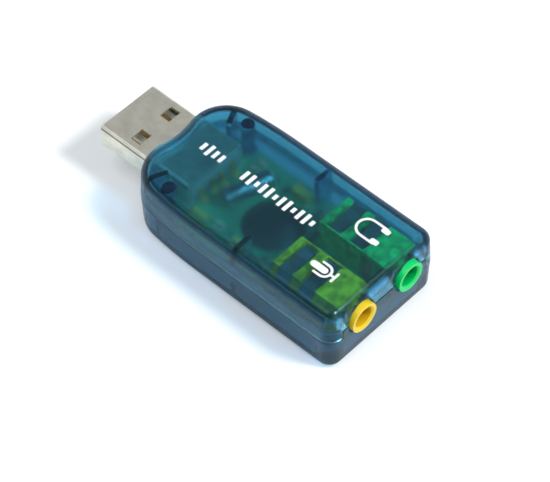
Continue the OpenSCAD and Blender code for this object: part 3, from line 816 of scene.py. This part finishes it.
def make_upper_shell(s, material):
    """Lid with a skirt over the lip, ribs, and posts with pins that go into the lower posts."""
    h = Housing(s)
    gap_z = h.seam_h + h.seam_gap
    skirt_x = h.lip_in - h.slip / 2
    profile = fillet(h.draft + h.top_round, TOP_Z - h.top_round, h.top_round, 90, 180, 12)
    profile += [(0, gap_z), (skirt_x, gap_z), (skirt_x, h.lip_top), (h.wall, h.lip_top)]
    profile += fillet(h.wall + h.inner_round, h.roof_z - h.inner_round, h.inner_round, 180, 90, 6)
    shell = tool("upper_shell_skin", swept(h.outline, profile))
    parts = h.ribs(BOARD_TOP, h.roof_z + BURY, h.lip_top)
    parts += h.pillars("post", UPPER_POST_R, BOARD_TOP, h.roof_z + BURY)
    parts += h.pillars("pin", PIN_R, h.floor_t + 2 * h.slip, h.roof_z)
    combine(shell, parts, "UNION")
    panel = rear_panel(h, h.slip, REAR_X - h.wall - MM, REAR_X + MM, h.seam_h - MM, h.lip_top + h.seam_gap)
    combine(shell, [plug_opening(h)] + collar_holes(h) + [panel], "DIFFERENCE")
    return finish_shell(shell, material, h.edge)


# Print

def stroke(points, width, steps=8):
    """A line of some width with round ends, as its outline and the flat patches that fill it."""
    pts = [Vector(p) for p in points]
    left, right = [], []
    for i, p in enumerate(pts):
        before = (p - pts[i - 1]).normalized() if i else (pts[1] - p).normalized()
        after = (pts[i + 1] - p).normalized() if i < len(pts) - 1 else before
        way = (before + after).normalized()
        side = Vector((-way.y, way.x)) * width / 2 / max(0.3, way.dot(before))
        left.append(p + side)
        right.append(p - side)

    def cap(centre, start):
        spoke = start - centre
        turns = [-math.pi * i / steps for i in range(1, steps)]
        return [centre + Vector((spoke.x * math.cos(a) - spoke.y * math.sin(a),
                                 spoke.x * math.sin(a) + spoke.y * math.cos(a))) for a in turns]

    n = len(pts)
    outline = left + cap(pts[-1], left[-1]) + right[::-1] + cap(pts[0], right[0])
    facing = [2 * n + steps - 2 - i for i in range(n)]
    patches = [(i, i + 1, facing[i + 1], facing[i]) for i in range(n - 1)]
    patches.append(tuple(range(n - 1, n + steps)))
    patches.append(tuple(range(2 * n + steps - 2, len(outline))) + (0,))
    return outline, patches


def bend(cx, cy, r, a0, a1, steps=14):
    """Points of an arc between two angles in degrees."""
    return [(cx + r * math.cos(math.radians(a0 + (a1 - a0) * i / steps)),
             cy + r * math.sin(math.radians(a0 + (a1 - a0) * i / steps))) for i in range(steps + 1)]


def inked(name, shapes, s, material):
    """Print of several flat shapes, each a thin slab on the roof a little above the one before."""
    bm = bmesh.new()
    for layer, (outline, patches) in enumerate(shapes):
        lift = layer * s.height / 8
        low = [bm.verts.new((p[0], p[1], TOP_Z - s.height / 4 - lift)) for p in outline]
        high = [bm.verts.new((p[0], p[1], TOP_Z + s.height + lift)) for p in outline]
        for patch in patches:
            bm.faces.new([high[i] for i in patch])
            bm.faces.new([low[i] for i in reversed(patch)])
        for i in range(len(outline)):
            k = (i + 1) % len(outline)
            bm.faces.new((low[i], low[k], high[k], high[i]))
    bmesh.ops.recalc_face_normals(bm, faces=bm.faces)
    return new_piece(name, bm, material)


def headphones_sign(cx, cy, line_w):
    """Headphones that lie on their side: a band with its arms, and two cups."""
    band_r = 1.75 * MM
    arm_x = cx + 1.7 * MM
    arc_points = bend(cx - 0.75 * MM, cy, band_r, 90, 270)
    shapes = [stroke([(arm_x, cy + band_r)] + arc_points + [(arm_x, cy - band_r)], line_w)]
    cup_len, cup_w, cup_r = 1.5 * MM, 0.95 * MM, 0.3 * MM
    cup_x = cx + 1.75 * MM
    for side in (-1, 1):
        cup = rounded_box_outline(cup_len, cup_w, cup_r, cup_x, cy + side * 1.35 * MM, 5)
        shapes.append((cup, [tuple(range(len(cup)))]))
    return shapes


def microphone_sign(cx, cy, line_w):
    """A microphone that lies on its side: head, cradle, stem and foot."""
    head_w = 1.15 * MM
    cradle_r = 1.15 * MM
    cradle_x = cx - 0.6 * MM
    foot_x = cx + 2.6 * MM
    foot_half = 0.85 * MM
    arc_points = bend(cx + 0.55 * MM, cy, cradle_r, 90, -90)
    return [
        stroke([(cx - 1.5 * MM, cy), (cx + 0.6 * MM, cy)], head_w),
        stroke([(cradle_x, cy + cradle_r)] + arc_points + [(cradle_x, cy - cradle_r)], line_w),
        stroke([(cx + 1.75 * MM, cy), (foot_x, cy)], line_w),
        stroke([(foot_x, cy - foot_half), (foot_x, cy + foot_half)], line_w),
    ]


def bar_tree(name):
    """Geometry Nodes: a row of level bars whose lengths rise and fall like a meter's."""
    tree = bpy.data.node_groups.new(name, "GeometryNodeTree")
    kinds = {"Geometry": "Geometry", "Count": "Int", "Pitch": "Float", "Bar Width": "Float",
             "Longest": "Float", "Phase": "Float", "Rate": "Float", "Height": "Float",
             "Start": "Vector", "Ink": "Material"}
    for label, kind in kinds.items():
        tree.interface.new_socket(label, in_out="INPUT", socket_type=f"NodeSocket{kind}")
    tree.interface.new_socket("Geometry", in_out="OUTPUT", socket_type="NodeSocketGeometry")
    n = Nodes(tree, "NodeGroupOutput")
    given = n.add("NodeGroupInput").other
    step = n.add("ShaderNodeCombineXYZ", None, {"X": given("Pitch")})
    row = n.add("GeometryNodeMeshLine", None,
                {"Count": given("Count"), "Start Location": given("Start"), "Offset": step})
    turn = n.add("GeometryNodeInputIndex") * given("Rate") + given("Phase")
    shortest = 0.38
    length = (abs(turn.sum("SINE", turn)) * (1 - shortest) + shortest) * given("Longest")
    form = n.add("ShaderNodeCombineXYZ", None, {"X": given("Bar Width"), "Y": length, "Z": given("Height")})
    bar = n.add("GeometryNodeMeshCube", None,
                {"Vertices X": 2, "Vertices Y": 2, "Vertices Z": 2, "Size": (1, 1, 1)})
    placed = n.add("GeometryNodeInstanceOnPoints", None, {"Points": row, "Instance": bar, "Scale": form})
    real = n.add("GeometryNodeRealizeInstances", None, {"Geometry": placed})
    n.feed_output("Geometry", n.add("GeometryNodeSetMaterial", None,
                                    {"Geometry": real, "Material": given("Ink")}))
    return tree


def level_bars(name, tree, values, material):
    """A piece of print made by the tree of level bars."""
    mesh = bpy.data.meshes.new(name)
    piece = bpy.data.objects.new(name, mesh)
    bpy.context.scene.collection.objects.link(piece)
    modifier = piece.modifiers.new("bars", "NODES")
    modifier.node_group = tree
    sockets = {item.name: item.identifier for item in tree.interface.items_tree if item.in_out == "INPUT"}
    for key, value in values.items():
        modifier[sockets[key]] = value
    modifier[sockets["Ink"]] = material
    piece.update_tag()
    return evaluated(piece)


# Operators

def settings(name):
    """The scene's values of one property group."""
    return getattr(bpy.context.scene, name)


def stand_for(piece, node):
    """Puts a piece in the place of a CAD node."""
    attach(piece, "root")
    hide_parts(node)


def softened(node, edge, material):
    """A copy of a CAD node with broken edges, which stands for it."""
    bm = bmesh.new()
    bm.from_mesh(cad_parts[node].data)
    bmesh.ops.remove_doubles(bm, verts=bm.verts, dist=0.001 * MM)
    bmesh.ops.dissolve_limit(bm, angle_limit=math.radians(1), verts=bm.verts, edges=bm.edges)
    sharp = [item for item in bm.edges if item.is_manifold and item.calc_face_angle() > math.radians(40)]
    bmesh.ops.bevel(bm, geom=sharp, offset=edge, segments=2, profile=0.5, affect="EDGES", clamp_overlap=True)
    piece = new_piece(f"{node}_finished", bm, material, 30)
    weighted = piece.modifiers.new("weighted", "WEIGHTED_NORMAL")
    weighted.keep_sharp = True
    stand_for(evaluated(piece), node)


def dress(node, material):
    """Gives a CAD node a better material."""
    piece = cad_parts[node]
    if not piece.material_slots:
        piece.data.materials.append(material)
    for slot in piece.material_slots:
        slot.material = material


def floor_finish():
    """Pale floor that glows for the camera, more so far away, and is open when seen from below."""
    reach = 0.6
    f = Finish("pale_floor")
    path = f.add("ShaderNodeLightPath")
    x, y = f.axes(f.place())[:2]
    away = (x * x + y * y) ** 0.5 * (1 / reach)
    far = f.ramp(away, [(0.15, scaled(WHITE, 0.22)), (1.0, scaled(WHITE, 0.75))])
    seen = path.other("Is Camera Ray") * far + path.other("Is Transmission Ray") * 0.10
    pale = f.add("ShaderNodeBsdfDiffuse", None, {"Color": (0.90, 0.92, 0.94)})
    glow = f.add("ShaderNodeEmission", None, {"Color": WHITE, "Strength": seen})
    both = f.add("ShaderNodeAddShader", None, {0: pale, 1: glow})
    from_below = f.add("ShaderNodeNewGeometry", out="Backfacing")
    open_floor = f.add("ShaderNodeBsdfTransparent")
    f.feed_output("Surface", f.add("ShaderNodeMixShader", None, {0: from_below, 1: both, 2: open_floor}))
    return f.owner


def studio_light(s):
    """Even light for the object, and white for what the camera, gloss and clear plastic see."""
    f = Finish("studio", world=True)
    path = f.add("ShaderNodeLightPath")
    glossy = path.other("Is Glossy Ray")
    through = path.other("Is Transmission Ray")
    even = f.add("ShaderNodeBackground", None, {"Color": (0.88, 0.95, 1), "Strength": s.sky})
    up = f.axes(f.add("ShaderNodeTexCoord", out="Generated"))[2]
    overhead = f.add("ShaderNodeMapRange", None, {
        "Value": up, "From Min": 0.15, "From Max": 0.6, "To Min": 1.0, "To Max": s.overhead})
    mirrored = f.add("ShaderNodeMix", {"data_type": "FLOAT"}, {"Factor": glossy, "A": 1, "B": overhead})
    strength = (1 - through * 0.65) * mirrored
    white = f.add("ShaderNodeBackground", None, {"Color": WHITE, "Strength": strength})
    seen = path.other("Is Camera Ray") + glossy + through
    f.feed_output("Surface", f.add("ShaderNodeMixShader", None, {0: seen, 1: even, 2: white}))
    return f.owner


class SOUNDCARD_OT_stage(bpy.types.Operator):
    """Make the floor, the light from all round, the lamps and the camera"""
    bl_idname = "soundcard.stage"
    bl_label = "Stage"

    def execute(self, context):
        s = settings("soundcard_stage")
        scene = context.scene
        bm = bmesh.new()
        bmesh.ops.create_grid(bm, x_segments=1, y_segments=1, size=3)
        floor = new_piece("floor", bm, floor_finish())
        floor.location.z = FLOOR_Z
        scene.world = studio_light(s)
        for name, place, power, width in (("key_lamp", KEY_PLACE, s.key_power, KEY_WIDTH),
                                          ("fill_lamp", FILL_PLACE, s.fill_power, FILL_WIDTH)):
            lamp = bpy.data.lights.new(name, "AREA")
            lamp.energy = power
            lamp.shape = "DISK"
            lamp.size = width
            item = bpy.data.objects.new(name, lamp)
            item.location = place
            item.rotation_euler = (-Vector(place)).to_track_quat("-Z", "Y").to_euler()
            scene.collection.objects.link(item)
        camera = bpy.data.cameras.new("camera")
        camera.lens = s.lens
        camera.sensor_width = 36
        camera.clip_start = 0.01
        item = bpy.data.objects.new("camera", camera)
        item.location = CAMERA_PLACE
        item.rotation_euler = CAMERA_TURN
        scene.collection.objects.link(item)
        scene.camera = item
        scene.view_settings.view_transform = "Standard"
        scene.cycles.max_bounces = 28
        scene.cycles.transmission_bounces = 28
        return {"FINISHED"}


class SOUNDCARD_OT_housing(bpy.types.Operator):
    """Make the two see-through shells"""
    bl_idname = "soundcard.housing"
    bl_label = "Housing"

    def execute(self, context):
        s = settings("soundcard_housing")
        lower = clear_plastic("clear_teal_lower", tuple(s.lower_tint), s.lower_clarity, s)
        upper = clear_plastic("clear_teal_upper", tuple(s.upper_tint), s.upper_clarity, s)
        stand_for(make_lower_shell(s, lower), "lower_shell")
        stand_for(make_upper_shell(s, upper), "upper_shell")
        return {"FINISHED"}


class SOUNDCARD_OT_plug(bpy.types.Operator):
    """Finish the plug: its folded shell, insulator and contacts"""
    bl_idname = "soundcard.plug"
    bl_label = "Plug"

    def execute(self, context):
        s = settings("soundcard_metal")
        high = corner("plug_shell", 1)
        # The nickel gets painted shade as a dark line just under its top bend
        nickel = rolled_metal("nickel_plate", tuple(s.nickel), grain=9000, rough=0.34,
                              shaded_fold=(high[1] - 0.1 * MM, high[2]))
        softened("plug_shell", 0.09 * MM, nickel)
        # The insulator gets painted shade where it lies inside the housing
        dress("plug_insulator", moulded("white_tongue", (0.86, 0.86, 0.83), rough=0.4, shade=tongue_shade))
        gilt = rolled_metal("gilt_strip", tuple(s.gilt), grain=8000, rough=0.5)
        for i in range(1, 5):
            dress(f"plug_contact_{i}", gilt)
        return {"FINISHED"}


class SOUNDCARD_OT_sockets(bpy.types.Operator):
    """Finish the two sockets and their contact springs"""
    bl_idname = "soundcard.sockets"
    bl_label = "Sockets"

    def execute(self, context):
        s = settings("soundcard_sockets")
        # The fourth colour of each socket is its painted shade, down the bore and inside the housing
        sides = (("headphone", 1, s.headphone, (0.0, 0.09, 0.015), "green_plastic"),
                 ("microphone", -1, s.microphone, (0.50, 0.19, 0.0), "yellow_plastic"))
        for name, side, colour, painted_shade_colour, slot in sides:
            shade = socket_shade(side * abs(JACK_Y), painted_shade_colour)
            plastic = moulded(f"{name}_moulding", tuple(colour), rough=0.3, glow=0.1, shade=shade)
            softened(f"{name}_jack_body", 0.12 * MM, plastic)
        tinned = rolled_metal("tinned_spring", tuple(settings("soundcard_metal").tinned),
                              grain=16000, rough=0.34, along=1)
        for which in ("headphone", "microphone"):
            for contact in ("tip", "ring", "sleeve"):
                dress(f"{which}_{contact}_spring", tinned)
        return {"FINISHED"}


class SOUNDCARD_OT_board(bpy.types.Operator):
    """Finish the board and what is soldered to it"""
    bl_idname = "soundcard.board"
    bl_label = "Board"

    def execute(self, context):
        s = settings("soundcard_board")
        metal = settings("soundcard_metal")
        dress("circuit_board", board_mask("board_mask", tuple(s.mask)))
        dress("sound_chip_drop", epoxy_drop("epoxy_drop", tuple(s.epoxy)))
        steel = rolled_metal("drawn_steel_can", tuple(metal.steel), grain=7000, rough=0.11, along=2)
        dress("crystal_can", steel)
        dress("chip_capacitors", grainy_chip("ceramic_chip", tuple(s.ceramic), (0.55, 0.42, 0.30)))
        dress("chip_resistors", grainy_chip("resistor_chip", (0.02, 0.02, 0.022), (0.10, 0.10, 0.10)))
        dress("coupling_capacitors", grainy_chip("amber_chip", tuple(s.amber), (0.80, 0.45, 0.08)))
        dress("solder_joints", rolled_metal("solder", tuple(metal.solder), grain=6000, rough=0.24))
        return {"FINISHED"}


class SOUNDCARD_OT_print(bpy.types.Operator):
    """Print the level bars and the two pictograms on the roof"""
    bl_idname = "soundcard.print"
    bl_label = "Print"

    def execute(self, context):
        s = settings("soundcard_print")
        ink = screen_ink("white_ink", tuple(s.ink))
        tree = bar_tree("level_bars")
        pieces = []
        for name, count, x0, phase in (("print_bars_front", s.front_count, FRONT_BARS_X, 0.5),
                                       ("print_bars_rear", s.rear_count, REAR_BARS_X, 0.9)):
            pieces.append(level_bars(name, tree, {
                "Count": count, "Pitch": s.pitch, "Bar Width": s.bar_w, "Longest": LONGEST_BAR,
                "Phase": phase, "Rate": 1.05, "Height": s.height,
                "Start": (x0, BARS_Y, TOP_Z + s.height / 2)}, ink))
        headphones = headphones_sign(HEADPHONES_X, JACK_Y, s.stroke)
        microphone = microphone_sign(MICROPHONE_X, -JACK_Y, s.stroke)
        pieces.append(inked("print_headphones", headphones, s, ink))
        pieces.append(inked("print_microphone", microphone, s, ink))
        for piece in pieces:
            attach(piece, "root")
        return {"FINISHED"}


class SOUNDCARD_PT_panel(bpy.types.Panel):
    """Buttons that make the sound card piece by piece"""
    bl_idname = "SOUNDCARD_PT_panel"
    bl_label = "Sound Card"
    bl_space_type = "VIEW_3D"
    bl_region_type = "UI"
    bl_category = "Sound Card"

    def draw(self, context):
        for operator, name in STEPS:
            box = self.layout.box()
            box.operator(operator.bl_idname)
            group = getattr(context.scene, name)
            for key in group.bl_rna.properties.keys():
                if key not in ("rna_type", "name"):
                    box.prop(group, key)


GROUPS = (
    ("soundcard_stage", StageSettings),
    ("soundcard_housing", HousingSettings),
    ("soundcard_metal", MetalSettings),
    ("soundcard_sockets", SocketSettings),
    ("soundcard_board", BoardSettings),
    ("soundcard_print", PrintSettings),
)
STEPS = (
    (SOUNDCARD_OT_stage, "soundcard_stage"),
    (SOUNDCARD_OT_board, "soundcard_board"),
    (SOUNDCARD_OT_sockets, "soundcard_sockets"),
    (SOUNDCARD_OT_plug, "soundcard_metal"),
    (SOUNDCARD_OT_housing, "soundcard_housing"),
    (SOUNDCARD_OT_print, "soundcard_print"),
)


def register():
    """Adds the settings, the operators and the panel to Blender."""
    for name, group in GROUPS:
        bpy.utils.register_class(group)
        setattr(bpy.types.Scene, name, PointerProperty(type=group))
    for operator, _ in STEPS:
        bpy.utils.register_class(operator)
    bpy.utils.register_class(SOUNDCARD_PT_panel)


def unregister():
    """Takes them out again."""
    bpy.utils.unregister_class(SOUNDCARD_PT_panel)
    for operator, _ in reversed(STEPS):
        bpy.utils.unregister_class(operator)
    for name, group in reversed(GROUPS):
        delattr(bpy.types.Scene, name)
        bpy.utils.unregister_class(group)


def main():
    """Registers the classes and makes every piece."""
    register()
    bpy.ops.soundcard.stage()
    bpy.ops.soundcard.board()
    bpy.ops.soundcard.sockets()
    bpy.ops.soundcard.plug()
    bpy.ops.soundcard.housing()
    bpy.ops.soundcard.print()


if __name__ == "__main__":
    main()
